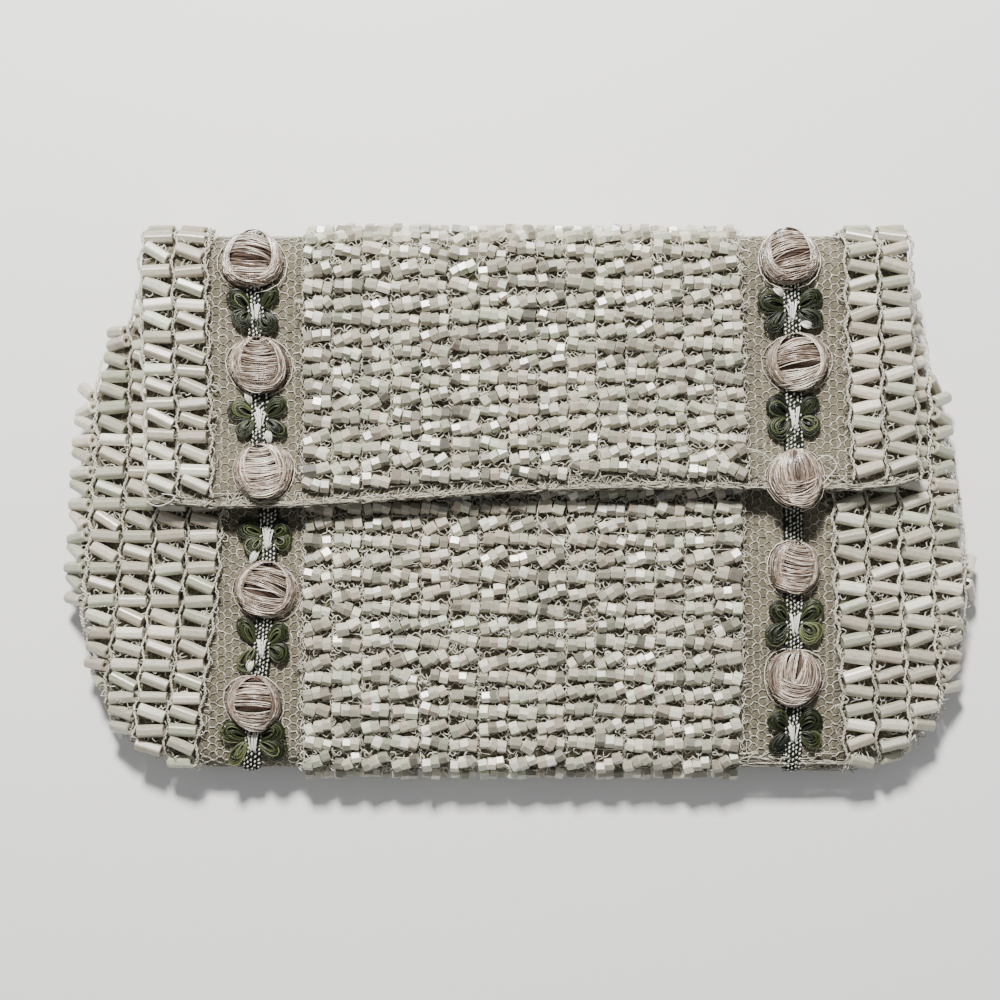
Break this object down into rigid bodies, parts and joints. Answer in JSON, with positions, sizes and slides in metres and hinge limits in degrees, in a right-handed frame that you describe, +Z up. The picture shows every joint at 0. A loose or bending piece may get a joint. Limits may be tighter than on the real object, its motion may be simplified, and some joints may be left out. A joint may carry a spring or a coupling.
{
  "type": "beaded flapper purse",
  "caption": "Small envelope clutch of grey-white glass beads on netted cloth, with pink floss roses and green braid, lying on its back with the flap closed.",
  "frame": {"origin": "under the middle of the purse, on the surface it lies on", "axes": "+X along the fold, to the right as seen from above; +Y from the bottom edge to the fold; +Z up, from the back to the flap"},
  "size_m": [0.2, 0.1212, 0.0233],
  "materials": {
    "cloth": "matte",
    "glass_beads": "satin",
    "rose_floss": "satin",
    "green_braid": "satin",
    "stud_metal": "satin"
  },
  "bodies": {
    "root": {"back_and_flap": "cloth", "front_panel": "cloth", "press_stud": "stud_metal", "front_centre_beads": "glass_beads", "front_left_bugles": "glass_beads", "front_right_bugles": "glass_beads", "flap_centre_beads": "glass_beads", "flap_left_bugles": "glass_beads", "flap_right_bugles": "glass_beads", "back_centre_beads": "glass_beads", "back_left_bugles": "glass_beads", "back_right_bugles": "glass_beads", "flap_left_braid": "green_braid", "flap_left_rose_1": "rose_floss", "flap_left_rose_2": "rose_floss", "flap_left_rose_3": "rose_floss", "flap_right_braid": "green_braid", "flap_right_rose_1": "rose_floss", "flap_right_rose_2": "rose_floss", "flap_right_rose_3": "rose_floss", "front_left_braid": "green_braid", "front_left_rose_1": "rose_floss", "front_left_rose_2": "rose_floss", "front_right_braid": "green_braid", "front_right_rose_1": "rose_floss", "front_right_rose_2": "rose_floss", "back_left_braid": "green_braid", "back_left_rose_1": "rose_floss", "back_left_rose_2": "rose_floss", "back_left_rose_3": "rose_floss", "back_left_rose_4": "rose_floss", "back_right_braid": "green_braid", "back_right_rose_1": "rose_floss", "back_right_rose_2": "rose_floss", "back_right_rose_3": "rose_floss", "back_right_rose_4": "rose_floss"}
  },
  "joints": []
}
